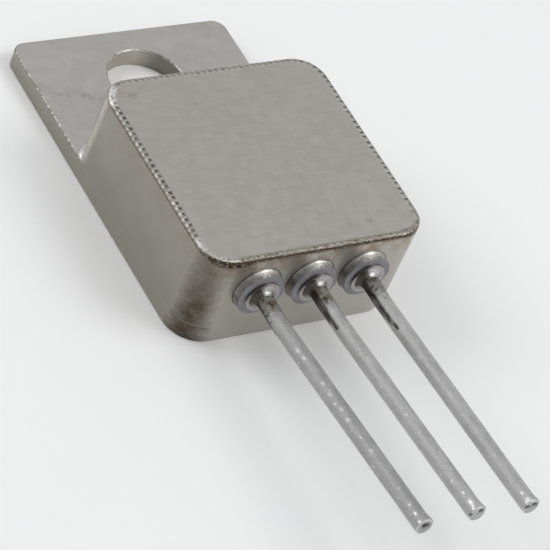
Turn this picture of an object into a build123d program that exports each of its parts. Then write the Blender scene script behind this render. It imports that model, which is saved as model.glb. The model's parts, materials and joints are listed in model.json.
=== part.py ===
from build123d import *
from math import cos, radians, sin
import os

# Voltage regulator in a hermetic three-lead metal package (TO-257 outline). All sizes are in mm.
# The origin is the centre of the tab's screw hole on the mounting face. The mounting face is Z = 0,
# the lid faces +Z and the leads point towards -Y.

# Package outline
WIDTH = 10.54
BODY_LENGTH = 10.40        # front wall to rear wall
OVERALL_LENGTH = 16.53     # front wall to the end of the tab
OVERALL_HEIGHT = 4.65      # mounting face to the top of the weld bead
HOLE_TO_FRONT = 13.57      # screw hole to the front wall's outer face
FRONT = -HOLE_TO_FRONT
REAR = FRONT + BODY_LENGTH
TAB_END = FRONT + OVERALL_LENGTH

# Heat sink tab
TAB_THICKNESS = 0.89
HOLE_RADIUS = 1.78
TAB_END_CORNER = 0.60
TAB_FRONT_CORNER = 1.48    # a little rounder than the walls, which stand over it at the corners
EDGE_ROUND = 0.06
RIM_CHAMFER = 0.05

# Wall frame
BODY_CORNER = 1.30
WALL = 1.00
CAVITY_CORNER = 0.60
BRAZE_LAYER = 0.05
BRAZE_LEG = 0.28           # reach of the fillet behind the rear wall
BRAZE_RUNOUT = 0.35        # how far the fillet follows each rear corner before it fades out
HOLLOW = 0.29              # how far a meniscus dips towards its corner, as a share of its legs
FRAME_FLOOR = TAB_THICKNESS + BRAZE_LAYER

# Lid and its seam weld
LID_RIM = 0.10             # thickness of the lid's rim, which lies on the walls
LID_STEP = 0.15            # how far the lid's thicker middle drops between the walls
STEP_CLEARANCE = 0.10      # between the step and the walls
BEAD_PROUD = 0.03          # the bead's crest above the lid
LID_TOP = OVERALL_HEIGHT - BEAD_PROUD
FRAME_TOP = LID_TOP - LID_RIM
LID_INSET = 0.30           # body outline to the lid's own edge, inside the bead
NUGGET_PITCH = 0.31
NUGGET_RADIUS = 0.20
NUGGET_CREST = 0.16        # radius at the top, so the sides lean in
NUGGET_INSET = 0.18        # body outline to the nuggets' centres, so they bulge past the walls
NUGGET_FACETS = 4          # flats on the free side of each nugget
PIT_RADIUS = 0.075
PIT_DEPTH = 0.06
PIT_SIDES = 6

# Feedthroughs
LEAD_PITCH = 2.54
LEAD_X = (-LEAD_PITCH, 0.0, LEAD_PITCH)
LEAD_HEIGHT = 2.90
BORE_RADIUS = 1.10
INSULATOR_RADIUS = 1.05
INSULATOR_BORE = 0.42
INSULATOR_PROUD = 0.40
INSULATOR_INSIDE = 0.30    # how far the eyelet stands out inside the wall
INSULATOR_CHAMFER = 0.05
COLLAR_HEIGHT = 0.35       # braze collar round the eyelet
COLLAR_FOOT = 1.13         # radius where the collar runs out on the wall
WASHER_RADIUS = 0.76
WASHER_THICKNESS = 0.10
LEAD_FILLET_FOOT = 0.62
LEAD_FILLET_HEIGHT = 0.26

# Leads, bent gently away from the mounting face
LEAD_RADIUS = 0.37
LEAD_TILTS = (4.9, 4.6, 3.8)           # degrees
LEAD_LENGTHS = (13.15, 13.07, 13.20)   # outside the front wall
BEND_DISTANCE = 2.0                    # front wall to the bend
BEND_RADIUS = 6.0
LEAD_INSIDE = 1.15                     # reach into the cavity
BOND_FLAT_LENGTH = 0.80
BOND_FLAT_HEIGHT = 0.12                # above the lead's axis
TIP_CHAMFER = 0.09
DIMPLE_LENGTH = 0.34
DIMPLE_WIDTH = 0.11
DIMPLE_DEPTH = 0.07

# Circuit inside
SUBSTRATE = (7.20, 5.80, 0.635)
SUBSTRATE_Y = REAR - WALL - 0.75 - SUBSTRATE[1] / 2
SOLDER_LAYER = 0.05
PAD = (6.40, 5.00, 0.20)
DIE = (3.70, 3.10, 0.30)
DIE_Y = SUBSTRATE_Y - 0.40
DIE_SOLDER_MARGIN = 0.10
PAD_TOP = TAB_THICKNESS + SOLDER_LAYER + SUBSTRATE[2] + PAD[2]
DIE_TOP = PAD_TOP + SOLDER_LAYER + DIE[2]
RIBBON = (0.50, 0.10)                  # width and thickness of the bond ribbons
RIBBON_SPACING = 1.10                  # between the bonds on the die
RIBBON_FOOT = 0.45
RIBBON_ARCH = 0.70                     # crest above the lead's bond flat
RIBBON_CREST = 0.4                     # where the crest lies, as a share of the way to the lead
RIBBON_BEND = 0.30
DIE_BOND_INSET = 0.80                  # die's front edge to the bonds


def rounded_plan(inset, corner):
    """Plan of the body, drawn in by an inset."""
    plan = RectangleRounded(WIDTH - 2 * inset, BODY_LENGTH - 2 * inset, corner)
    return Pos(0, (FRONT + REAR) / 2) * plan


def block(plan, bottom, top):
    """Upright prism of a plan between two heights."""
    return Pos(0, 0, bottom) * extrude(plan, top - bottom)


def plate(size, y, bottom):
    """Rectangular plate of the circuit, centred on X."""
    width, length, thickness = size
    return Pos(0, y, bottom + thickness / 2) * Box(width, length, thickness)


BODY_PLAN = rounded_plan(0, BODY_CORNER)
CAVITY_PLAN = rounded_plan(WALL, CAVITY_CORNER)
LID_PLAN = rounded_plan(LID_INSET, BODY_CORNER - LID_INSET)


def meniscus(foot, height):
    """Section of a fillet of braze in a right-angled corner at (0, 0)."""
    return make_face(
        Polyline((0, 0), (foot, 0), (foot * HOLLOW, height * HOLLOW), (0, height), close=True)
    )


def heat_sink_tab():
    """Base plate: the walls stand on its sharp-edged front part, and its rear part has eased edges."""
    plan = Pos(0, (FRONT + TAB_END) / 2) * Rectangle(WIDTH, OVERALL_LENGTH)
    plan = fillet(plan.vertices().group_by(Axis.Y)[0], TAB_FRONT_CORNER)
    plan = fillet(plan.vertices().group_by(Axis.Y)[-1], TAB_END_CORNER)
    tab = block(plan, 0, TAB_THICKNESS)
    tab = fillet(tab.faces().sort_by(Axis.Z)[-1].edges(), EDGE_ROUND)
    tab = chamfer(tab.faces().sort_by(Axis.Z)[0].edges(), EDGE_ROUND / 2)
    under_walls = plan & BODY_PLAN
    tab += block(under_walls, TAB_THICKNESS / 2, TAB_THICKNESS)
    tab -= Pos(0, 0, TAB_THICKNESS / 2) * Cylinder(HOLE_RADIUS, 2 * TAB_THICKNESS)
    rims = tab.edges().filter_by(GeomType.CIRCLE).filter_by(
        lambda edge: abs(edge.radius - HOLE_RADIUS) < 0.001
    )
    return chamfer(rims.sort_by(Axis.Z)[-1], RIM_CHAMFER)


def frame_braze():
    """Thin layer under the walls, and the fillet that runs round behind the rear wall."""
    layer = block(BODY_PLAN - CAVITY_PLAN, TAB_THICKNESS, FRAME_FLOOR)
    side = WIDTH / 2
    start = (FRONT + REAR) / 2
    path = Pos(0, 0, TAB_THICKNESS) * FilletPolyline(
        (-side, start), (-side, REAR), (side, REAR), (side, start), radius=BODY_CORNER
    )
    section = Plane(origin=path @ 0, x_dir=(-1, 0, 0), z_dir=path % 0) * meniscus(BRAZE_LEG, BRAZE_LEG)
    runout = REAR - BODY_CORNER + BRAZE_RUNOUT
    behind = Pos(0, runout, TAB_THICKNESS) * Box(
        WIDTH, BODY_LENGTH, 1, align=(Align.CENTER, Align.MIN, Align.MIN)
    )
    return layer + (sweep(section, path) & behind)


def wall_frame():
    frame = block(BODY_PLAN - CAVITY_PLAN, FRAME_FLOOR, FRAME_TOP)
    for x in LEAD_X:
        frame -= Pos(x, FRONT, LEAD_HEIGHT) * Rot(90) * Cylinder(BORE_RADIUS, 3 * WALL)
    return frame


def lid():
    """Stepped cover: a thin rim for the weld and a thicker middle that centres it in the walls."""
    step = rounded_plan(WALL + STEP_CLEARANCE, CAVITY_CORNER - STEP_CLEARANCE)
    return block(LID_PLAN, FRAME_TOP, LID_TOP) + block(step, FRAME_TOP - LID_STEP, FRAME_TOP)


def nugget_stations():
    """Centre and outward direction of each weld nugget, evenly spaced round the lid."""
    loop = rounded_plan(NUGGET_INSET, BODY_CORNER - NUGGET_INSET).face().outer_wire()
    count = round(loop.length / NUGGET_PITCH)
    across = Vector(0, 0, 1)
    stations = [(loop @ (i / count), (loop % (i / count)).cross(across)) for i in range(count)]
    point, side = stations[0]
    inwards = (point - Vector(0, (FRONT + REAR) / 2)).dot(side) < 0
    return [(point, -side if inwards else side) for point, side in stations]


def scalloped(stations, radius, level):
    """Plan of the bead's outer edge: the free arc of each nugget, as a few flats."""
    count = len(stations)
    crotches = []
    for i, (point, side) in enumerate(stations):
        following, next_side = stations[(i + 1) % count]
        half = (following - point).length / 2
        outward = (side + next_side).normalized()
        crotches.append((point + following) / 2 + outward * (radius**2 - half**2) ** 0.5)
    outline = []
    for i, (point, _) in enumerate(stations):
        first, last = crotches[i - 1] - point, crotches[i] - point
        turn = first.get_signed_angle(last, Vector(0, 0, 1))
        for step in range(NUGGET_FACETS):
            corner = point + first.rotate(Axis.Z, turn * step / NUGGET_FACETS)
            outline.append((corner.X, corner.Y, level))
    return make_face(Polyline(*outline, close=True))


def lid_weld_bead():
    """Overlapping seam-weld nuggets with leaning sides, each with a small pit in its crest."""
    stations = nugget_stations()
    bead = loft(
        [
            scalloped(stations, NUGGET_RADIUS, FRAME_TOP),
            scalloped(stations, NUGGET_CREST, OVERALL_HEIGHT),
        ],
        ruled=True,
    )
    bead -= block(LID_PLAN, FRAME_TOP, OVERALL_HEIGHT)
    mouth = Pos(0, 0, OVERALL_HEIGHT) * RegularPolygon(PIT_RADIUS, PIT_SIDES)
    pit = loft([mouth.face(), Vertex(0, 0, OVERALL_HEIGHT - PIT_DEPTH)])
    return bead - [Pos(point.X, point.Y) * pit for point, _ in stations]


def feedthrough_plane(x):
    """Section plane of a feedthrough: local X is the radius, local Y the distance out of the wall."""
    return Plane(origin=(x, FRONT, LEAD_HEIGHT), x_dir=(0, 0, 1), z_dir=(1, 0, 0))


def turned(section, x):
    """Solid of revolution about a lead's axis."""
    axis = Axis((x, FRONT, LEAD_HEIGHT), (0, -1, 0))
    return revolve(feedthrough_plane(x) * section, axis, 360)


def ring_section(inner, outer, bottom, top):
    return Pos((inner + outer) / 2, (bottom + top) / 2) * Rectangle(outer - inner, top - bottom)


def insulator(x):
    """Ceramic eyelet that carries the lead through the wall."""
    section = ring_section(
        INSULATOR_BORE, INSULATOR_RADIUS, -WALL - INSULATOR_INSIDE, INSULATOR_PROUD
    )
    rim = section.vertices().group_by(Axis.X)[-1].sort_by(Axis.Y)[-1]
    return turned(chamfer(rim, INSULATOR_CHAMFER), x)


def insulator_braze(x):
    """Sleeve of braze in the bore, with a collar that climbs the eyelet outside."""
    sleeve = ring_section(INSULATOR_RADIUS, BORE_RADIUS, -WALL, 0)
    collar = Pos(INSULATOR_RADIUS, 0) * meniscus(COLLAR_FOOT - INSULATOR_RADIUS, COLLAR_HEIGHT)
    return turned(sleeve + collar, x)


def terminal_washer(x):
    """Metal pad on the eyelet's outer face."""
    section = ring_section(
        LEAD_RADIUS, WASHER_RADIUS, INSULATOR_PROUD, INSULATOR_PROUD + WASHER_THICKNESS
    )
    return turned(section, x)


def lead_braze(x):
    """Fillet where the lead leaves its pad."""
    section = meniscus(LEAD_FILLET_FOOT - LEAD_RADIUS, LEAD_FILLET_HEIGHT)
    return turned(Pos(LEAD_RADIUS, INSULATOR_PROUD + WASHER_THICKNESS) * section, x)


def lead(x, tilt, length):
    """Round lead with a flat for its bond inside and a sheared, dimpled tip."""
    inner = FRONT + WALL + LEAD_INSIDE
    bend = FRONT - BEND_DISTANCE
    outer = length - BEND_DISTANCE
    tip = (x, bend - outer * cos(radians(tilt)), LEAD_HEIGHT + outer * sin(radians(tilt)))
    path = FilletPolyline((x, inner, LEAD_HEIGHT), (x, bend, LEAD_HEIGHT), tip, radius=BEND_RADIUS)
    start = Plane(origin=path @ 0, x_dir=(1, 0, 0), z_dir=path % 0)
    wire = sweep(start * Circle(LEAD_RADIUS), path)
    wire = chamfer(wire.edges().filter_by(GeomType.CIRCLE).sort_by(Axis.Y)[0], TIP_CHAMFER)
    wire -= Pos(x, inner, LEAD_HEIGHT + BOND_FLAT_HEIGHT) * Box(
        2 * LEAD_RADIUS, 2 * BOND_FLAT_LENGTH, LEAD_RADIUS,
        align=(Align.CENTER, Align.CENTER, Align.MIN),
    )
    end = Plane(origin=path @ 1, x_dir=(1, 0, 0), z_dir=path % 1)
    return wire - end * extrude(SlotOverall(DIMPLE_LENGTH, DIMPLE_WIDTH), -DIMPLE_DEPTH)


def bond_ribbon(x):
    """Aluminium ribbon, looped from the die to the flat on the lead's inner end."""
    width, thickness = RIBBON
    lift = Vector(0, 0, thickness / 2)
    on_die = lift + Vector(
        x / LEAD_PITCH * RIBBON_SPACING, DIE_Y - DIE[1] / 2 + DIE_BOND_INSET, DIE_TOP
    )
    on_lead = lift + Vector(
        x, FRONT + WALL + LEAD_INSIDE - BOND_FLAT_LENGTH / 2, LEAD_HEIGHT + BOND_FLAT_HEIGHT
    )
    span = on_lead - on_die
    level = Vector(span.X, span.Y, 0)
    foot = level.normalized() * RIBBON_FOOT
    crest = Vector(0, 0, span.Z + RIBBON_ARCH)
    path = FilletPolyline(
        on_die - foot / 2,
        on_die + foot / 2,
        on_die + level * RIBBON_CREST + crest,
        on_lead - foot / 2,
        on_lead + foot / 2,
        radius=RIBBON_BEND,
    )
    start = Plane(origin=path @ 0, x_dir=level.cross(lift), z_dir=path % 0)
    return sweep(start * Rectangle(width, thickness), path)


def circuit():
    """The isolating substrate, its copper land and the die, each on its solder."""
    solder = (SUBSTRATE[0], SUBSTRATE[1], SOLDER_LAYER)
    die_solder = (DIE[0] + DIE_SOLDER_MARGIN, DIE[1] + DIE_SOLDER_MARGIN, SOLDER_LAYER)
    return {
        "substrate_solder": plate(solder, SUBSTRATE_Y, TAB_THICKNESS),
        "isolator_substrate": plate(SUBSTRATE, SUBSTRATE_Y, TAB_THICKNESS + SOLDER_LAYER),
        "die_pad": plate(PAD, SUBSTRATE_Y, PAD_TOP - PAD[2]),
        "die_solder": plate(die_solder, DIE_Y, PAD_TOP),
        "regulator_die": plate(DIE, DIE_Y, DIE_TOP - DIE[2]),
    }


def nodes():
    """Every piece of the regulator by name."""
    pieces = {
        "heat_sink_tab": heat_sink_tab(),
        "frame_braze": frame_braze(),
        "wall_frame": wall_frame(),
        "lid": lid(),
        "lid_weld_bead": lid_weld_bead(),
    }
    pieces.update(circuit())
    for i, x in enumerate(LEAD_X):
        number = i + 1
        pieces[f"insulator_{number}"] = insulator(x)
        pieces[f"insulator_braze_{number}"] = insulator_braze(x)
        pieces[f"terminal_washer_{number}"] = terminal_washer(x)
        pieces[f"lead_braze_{number}"] = lead_braze(x)
        pieces[f"lead_{number}"] = lead(x, LEAD_TILTS[i], LEAD_LENGTHS[i])
        pieces[f"bond_ribbon_{number}"] = bond_ribbon(x)
    return pieces


os.makedirs("parts", exist_ok=True)
for name, piece in nodes().items():
    export_step(piece, f"parts/{name}.step")
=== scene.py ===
import json
import math

import bmesh
import bpy
import numpy as np
from mathutils import Matrix, Vector, noise


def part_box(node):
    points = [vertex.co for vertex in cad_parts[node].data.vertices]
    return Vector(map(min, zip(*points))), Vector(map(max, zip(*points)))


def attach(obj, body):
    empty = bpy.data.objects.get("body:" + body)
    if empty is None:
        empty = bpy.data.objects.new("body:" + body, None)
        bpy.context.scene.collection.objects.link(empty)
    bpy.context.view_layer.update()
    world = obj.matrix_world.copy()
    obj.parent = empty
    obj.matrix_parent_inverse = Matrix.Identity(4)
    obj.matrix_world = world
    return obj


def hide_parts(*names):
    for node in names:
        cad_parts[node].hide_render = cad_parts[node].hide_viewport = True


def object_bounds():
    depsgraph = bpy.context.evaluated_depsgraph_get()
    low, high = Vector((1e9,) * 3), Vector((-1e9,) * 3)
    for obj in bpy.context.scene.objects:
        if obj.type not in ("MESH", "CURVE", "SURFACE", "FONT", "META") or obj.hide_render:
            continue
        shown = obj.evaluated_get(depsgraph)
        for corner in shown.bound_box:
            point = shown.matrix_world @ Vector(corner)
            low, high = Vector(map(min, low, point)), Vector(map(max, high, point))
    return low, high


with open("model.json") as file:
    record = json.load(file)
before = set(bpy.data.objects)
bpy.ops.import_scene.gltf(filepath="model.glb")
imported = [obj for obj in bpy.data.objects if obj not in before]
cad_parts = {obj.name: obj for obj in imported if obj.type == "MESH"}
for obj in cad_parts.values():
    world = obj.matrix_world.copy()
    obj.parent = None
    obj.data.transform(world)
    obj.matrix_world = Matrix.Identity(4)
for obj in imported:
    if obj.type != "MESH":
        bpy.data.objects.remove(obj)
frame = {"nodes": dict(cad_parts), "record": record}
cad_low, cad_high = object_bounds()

# A voltage regulator in a hermetic metal package. Lengths are in metres; MM turns millimetres
# into them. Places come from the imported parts, so every piece fits the parts as they are.
# Left is -X and right +X; the front wall carries the leads and the rear one faces the tab's hole.
MM = 0.001
TAU = 2 * math.pi

LID_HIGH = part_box("lid")[1]
WALL_LOW, WALL_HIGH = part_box("wall_frame")
BEAD_LOW, BEAD_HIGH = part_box("lid_weld_bead")
TAB_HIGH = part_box("heat_sink_tab")[1]
BODY_CORNER = 1.30 * MM
HOLE_RADIUS = 1.78 * MM
LEAD_NUMBERS = (1, 2, 3)


# -------- materials

class Shader:
    """A small helper that adds nodes to a material and joins them."""

    def __init__(self, name):
        self.material = bpy.data.materials.new(name)
        self.material.use_nodes = True
        self.tree = self.material.node_tree
        self.surface = self.tree.nodes["Principled BSDF"]
        # position in the part's own frame, in metres
        self.place = self.add("ShaderNodeTexCoord", {}, "Object")

    def fill(self, node, inputs):
        """Sets a node's inputs to numbers, vectors and colours, or joins other outputs to them."""
        for key, value in inputs.items():
            socket = node.inputs[key]
            if isinstance(value, bpy.types.NodeSocket):
                self.tree.links.new(value, socket)
            else:
                socket.default_value = (*value, 1.0) if socket.type == "RGBA" else value

    def add(self, kind, inputs, output=0, **settings):
        """Adds a node, fills its inputs and gives one of its outputs."""
        node = self.tree.nodes.new(kind)
        for key, value in settings.items():
            setattr(node, key, value)
        self.fill(node, inputs)
        return node.outputs[output]

    def axis(self, name):
        """One axis of the place."""
        return self.add("ShaderNodeSeparateXYZ", {0: self.place}, name)

    def facing(self, name, kind="True Normal"):
        """One axis of the direction that the surface faces."""
        normal = self.add("ShaderNodeNewGeometry", {}, kind)
        return self.add("ShaderNodeSeparateXYZ", {0: normal}, name)

    def attribute(self, name):
        return self.add("ShaderNodeAttribute", {}, "Fac", attribute_name=name)

    def scaled(self, vector, factors):
        return self.add("ShaderNodeVectorMath", {0: vector, 1: factors}, operation="MULTIPLY")

    def length(self, vector):
        return self.add("ShaderNodeVectorMath", {0: vector}, "Value", operation="LENGTH")

    def math(self, operation, *values):
        return self.add("ShaderNodeMath", dict(enumerate(values)), operation=operation)

    def times(self, first, *others):
        for value in others:
            first = self.math("MULTIPLY", first, value)
        return first

    def plus(self, first, *others):
        for value in others:
            first = self.math("ADD", first, value)
        return first

    def minus(self, first, second):
        return self.math("SUBTRACT", first, second)

    def noise(self, size, detail=3.0, roughness=0.55, distortion=0.0):
        """Cloudy pattern whose patches are about size metres across; a tuple stretches it."""
        sizes = size if isinstance(size, tuple) else (size,) * 3
        return self.add("ShaderNodeTexNoise", {
            "Vector": self.scaled(self.place, [1 / s for s in sizes]), "Scale": 1.0,
            "Detail": detail, "Roughness": roughness, "Distortion": distortion,
        }, "Fac")

    def ramp(self, value, low, high, to_low=0.0, to_high=1.0, smooth=True):
        return self.add("ShaderNodeMapRange", {
            "Value": value, "From Min": low, "From Max": high, "To Min": to_low, "To Max": to_high,
        }, "Result", interpolation_type="SMOOTHSTEP" if smooth else "LINEAR")

    def mix(self, share, first, second, blend="MIX"):
        inputs = {0: share, 6: first, 7: second}      # sockets 6 and 7 take the colours
        return self.add("ShaderNodeMix", inputs, 2, data_type="RGBA", blend_type=blend)

    def darkened(self, colour, share, tone):
        """Colour multiplied by a tone, as far as the share says."""
        return self.mix(share, colour, tone, "MULTIPLY")

    def bump(self, height, distance, strength, under=None):
        inputs = {"Distance": distance, "Strength": strength, "Height": height}
        if under is not None:
            inputs["Normal"] = under
        return self.add("ShaderNodeBump", inputs, "Normal")

    def blot(self, centre, radius, squash=(1, 1, 1)):
        """1 at a point of the part, fading to 0 at a radius from it, both in millimetres."""
        ends = {0: self.place, 1: [c * MM for c in centre]}
        offset = self.add("ShaderNodeVectorMath", ends, operation="SUBTRACT")
        span = self.length(self.scaled(offset, squash))
        return self.ramp(span, 0.2 * radius * MM, radius * MM, 1.0, 0.0)

    def finish(self, colour, roughness, normal, metallic=1.0):
        self.fill(self.surface, {"Metallic": metallic, "Base Color": colour,
                                 "Roughness": roughness, "Normal": normal})
        return self.material


def satin_nickel(name, light=(1.0, 1.0, 1.0), dark=(0.95, 0.95, 0.95)):
    """Satin nickel plate with faint cloudy stains and a fine grain."""
    s = Shader(name)
    cloud = s.noise(2.6 * MM, detail=4, distortion=0.6)
    mottle = s.noise(0.5 * MM, detail=4, roughness=0.6)
    blend = s.plus(s.times(cloud, 0.5), s.times(mottle, 0.5))
    colour = s.mix(s.ramp(blend, 0.36, 0.62), dark, light)
    warm = s.ramp(s.noise(1.3 * MM, detail=2), 0.4, 0.65, 0.0, 0.35)
    colour = s.darkened(colour, warm, (1.0, 0.985, 0.965))
    grain = s.noise(0.05 * MM, detail=2)
    rough = s.ramp(mottle, 0.3, 0.7, 0.38, 0.46)
    normal = s.bump(grain, 0.003 * MM, 0.4)
    normal = s.bump(cloud, 0.03 * MM, 0.25, under=normal)
    return s, colour, rough, normal


# smudges on the lid: centre across and along in mm, radius in mm, strength and tone
LID_SMUDGES = (
    (-4.10, -4.15, 0.24, 0.85, (0.74, 0.72, 0.70)),
    (-4.45, -4.00, 0.36, 0.80, (0.90, 0.80, 0.77)),
    (2.82, -12.48, 0.16, 0.65, (0.62, 0.62, 0.60)),
    (1.88, -12.47, 0.14, 0.45, (0.74, 0.74, 0.72)),
    (3.05, -12.38, 0.16, 0.30, (0.78, 0.78, 0.76)),
    (3.35, -12.27, 0.16, 0.30, (0.82, 0.82, 0.80)),
)


def lid_material():
    """Cover plate, faintly brushed, with smudges near one corner and along its front edge."""
    s, colour, rough, normal = satin_nickel(
        "satin_lid", light=(0.616, 0.5875, 0.5465), dark=(0.5845, 0.558, 0.518)
    )
    brushed = s.noise((1.3 * MM, 0.16 * MM, 0.2 * MM), detail=4, roughness=0.65)
    colour = s.darkened(colour, s.ramp(brushed, 0.35, 0.65, 0.0, 0.6), (0.93, 0.93, 0.93))
    uneven = s.ramp(s.noise(0.16 * MM), 0.35, 0.6, 0.4, 1.0)
    for x, y, radius, strength, tone in LID_SMUDGES:
        patch = s.blot((x, y, LID_HIGH.z / MM), radius, (0.7, 1, 1))
        colour = s.darkened(colour, s.times(patch, strength, uneven), tone)
    return s.finish(colour, rough, normal)


def corner_reach(s, side_x, side_y):
    """Distance out from the axis of one of the walls' round corners, along its diagonal."""
    out_x = WALL_HIGH.x if side_x > 0 else WALL_LOW.x
    out_y = WALL_HIGH.y if side_y > 0 else WALL_LOW.y
    diagonal = math.sqrt(0.5)
    ends = {0: s.place, 1: (side_x * diagonal, side_y * diagonal, 0)}
    reach = s.add("ShaderNodeVectorMath", ends, "Value", operation="DOT_PRODUCT")
    start = (side_x * out_x + side_y * out_y - 2 * BODY_CORNER) * diagonal
    return s.minus(reach, start)


def grime_and_dark_reflection(s, colour, shift=0.0):
    """Painted dark reflection with brown tarnish round the front left corner, and fine level
    scrapes.
    """
    patchy = s.noise((0.45 * MM, 0.45 * MM, 0.30 * MM), detail=5, roughness=0.7)
    scrapes = s.noise((0.7 * MM, 0.7 * MM, 0.09 * MM), roughness=0.6)
    reach = s.plus(corner_reach(s, -1, -1), shift,
                   s.ramp(patchy, 0.25, 0.75, -0.10 * MM, 0.10 * MM, smooth=False),
                   s.ramp(scrapes, 0.3, 0.7, -0.03 * MM, 0.03 * MM, smooth=False))
    # how far the painted dark reflection and the brown tarnish show
    share = s.ramp(reach, 0.93 * MM, 1.32 * MM, 0.0, 0.84, smooth=False)
    share = s.times(share, s.ramp(s.axis("Z"), 1.6 * MM, 3.8 * MM, 1.0, 0.66))
    return s.darkened(colour, share, (0.090, 0.052, 0.010))


def side_shade_and_tarnish(s):
    """Plated sides with painted shade: darker than the top and darkest on the left, with cloudy
    tarnish.
    """
    x = s.axis("X")
    cloud = s.noise(1.4 * MM, detail=4, distortion=0.4)
    shade_and_tarnish = s.plus(s.ramp(x, -4.2 * MM, 4.6 * MM, 0.78, 0.0),
                     s.ramp(cloud, 0.3, 0.7, -0.06, 0.06, smooth=False))
    colour = s.mix(shade_and_tarnish, (0.52, 0.50, 0.462), (0.318, 0.300, 0.262))
    # painted lighter front, fading out towards the right
    ahead = s.ramp(s.facing("Y"), -0.98, -0.70, 1.0, 0.0)
    ahead = s.times(ahead, s.ramp(x, -2.0 * MM, 3.8 * MM, 0.20, 0.0))
    return s.mix(ahead, colour, (0.95, 0.92, 0.86))


def scorch_and_weld_shadow(s, colour, patchy):
    """Brown heat tint on the walls under the weld, strongest in front, and a painted shadow line at
    their top.
    """
    height = s.axis("Z")
    front = s.ramp(s.axis("Y"), WALL_LOW.y + 0.2 * MM, WALL_LOW.y + 1.0 * MM, 1.0, 0.25)
    tint = s.ramp(height, WALL_HIGH.z - 1.15 * MM, WALL_HIGH.z - 0.15 * MM)
    tint = s.times(tint, front, s.ramp(patchy, 0.38, 0.60, 0.12, 0.78))
    colour = s.darkened(colour, tint, (0.69, 0.55, 0.44))
    # painted shadow of the weld's overhang along the walls' top
    line = s.ramp(height, WALL_HIGH.z - 0.10 * MM, WALL_HIGH.z - 0.02 * MM)
    line = s.times(line, s.ramp(s.noise(0.16 * MM), 0.4, 0.6, 0.25, 0.9))
    return s.darkened(colour, line, (0.50, 0.45, 0.40))


def weld_gap_shadow(s, colour):
    """Painted black shadow of the gap under the weld, on the walls at the front left corner."""
    under_weld = s.ramp(s.axis("Z"), WALL_HIGH.z - 0.22 * MM, WALL_HIGH.z - 0.08 * MM)
    spread = s.blot((-4.15, -13.4, WALL_HIGH.z / MM), 1.5)
    # the painted shadow is broken into patches
    broken_shadow = s.ramp(s.noise(0.2 * MM), 0.40, 0.52, 0.0, 0.95)
    return s.darkened(colour, s.times(under_weld, spread, broken_shadow), (0.08, 0.06, 0.045))


def wall_material():
    """Plated walls with painted shade, scorched under the weld, and a painted highlight at one
    corner.
    """
    s, colour, rough, normal = satin_nickel("satin_wall")
    colour = s.darkened(colour, 1.0, side_shade_and_tarnish(s))
    patchy = s.noise(0.5 * MM, detail=4)
    colour = scorch_and_weld_shadow(s, colour, patchy)
    colour = grime_and_dark_reflection(s, colour)
    colour = weld_gap_shadow(s, colour)
    reach = corner_reach(s, -1, 1)
    # painted highlight on the rear left corner
    corner_sheen = s.times(s.ramp(reach, 0.95 * MM, 1.20 * MM), s.ramp(patchy, 0.3, 0.6, 0.6, 0.9))
    colour = s.mix(corner_sheen, colour, (0.70, 0.67, 0.62))
    # painted dark line along the rear left corner's edge
    upper = s.ramp(s.axis("Z"), 2.0 * MM, 2.8 * MM)
    edge = s.times(s.ramp(reach, 1.24 * MM, 1.29 * MM), upper, 0.95)
    colour = s.darkened(colour, edge, (0.30, 0.28, 0.26))
    return s.finish(colour, rough, normal)


def tab_stain(s, colour):
    """Grey stain band that slopes from the tab's left edge to the hole, and a pale scratch."""
    x, y = s.axis("X"), s.axis("Y")
    slope = s.plus(y, s.times(s.plus(x, 4.35 * MM), 0.45))
    band = s.ramp(s.math("ABSOLUTE", s.plus(slope, 0.1 * MM)), 0.05 * MM, 0.42 * MM, 1.0, 0.0)
    wander = s.noise(0.20 * MM, detail=4, roughness=0.7)
    off_hole = s.ramp(x, -2.6 * MM, -2.1 * MM, 1.0, 0.0)
    band = s.times(band, off_hole, s.ramp(wander, 0.46, 0.66, 0.0, 0.8))
    colour = s.darkened(colour, band, (0.72, 0.71, 0.70))
    scratch = s.blot((-3.2, 1.66, TAB_HIGH.z / MM), 0.10)
    return s.mix(s.times(scratch, 0.5), colour, (0.85, 0.84, 0.82))


def tab_sides(s, colour, side, from_axis):
    """Sides with the walls' painted shade, and a hole wall that is darker towards the right."""
    # painted shade on the sides, as on the walls
    colour = s.mix(side, colour, side_shade_and_tarnish(s))
    bore = s.ramp(from_axis, HOLE_RADIUS + 0.02 * MM, HOLE_RADIUS + 0.04 * MM, 1.0, 0.0)
    darker_right = s.ramp(s.axis("X"), 0.3 * MM, 1.4 * MM, 0.0, 0.72)
    bore_tone = s.mix(darker_right, (0.53, 0.50, 0.445), (0.10, 0.094, 0.082))
    return s.mix(s.times(bore, side), colour, bore_tone)


def worn_edges_and_rim_highlight(s, colour, upward, from_axis):
    """Rounded top edge, nicked in short stretches, with a painted highlight round the hole's left
    half.
    """
    rounded = s.times(s.ramp(upward, 0.2, 0.4), s.ramp(upward, 0.9, 0.98, 1.0, 0.0))
    rim = s.ramp(from_axis, HOLE_RADIUS + 0.08 * MM, HOLE_RADIUS + 0.12 * MM, 1.0, 0.0)
    rim = s.times(rim, rounded)
    worn = s.noise(0.17 * MM, detail=4, roughness=0.75)
    nicks = s.times(s.minus(rounded, rim), s.ramp(worn, 0.50, 0.60, 1.0, 0.0))
    colour = s.darkened(colour, nicks, (0.26, 0.25, 0.23))
    # painted highlight on the hole's rim
    colour = s.mix(s.times(rim, s.ramp(worn, 0.50, 0.60)), colour, (0.80, 0.78, 0.75))
    dull = s.times(rim, s.ramp(worn, 0.40, 0.52, 1.0, 0.0))
    colour = s.darkened(colour, dull, (0.55, 0.54, 0.52))
    right = s.times(rim, s.ramp(s.axis("X"), 0.1 * MM, 0.9 * MM, 0.0, 0.75))
    return s.darkened(colour, right, (0.45, 0.44, 0.42))


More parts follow.
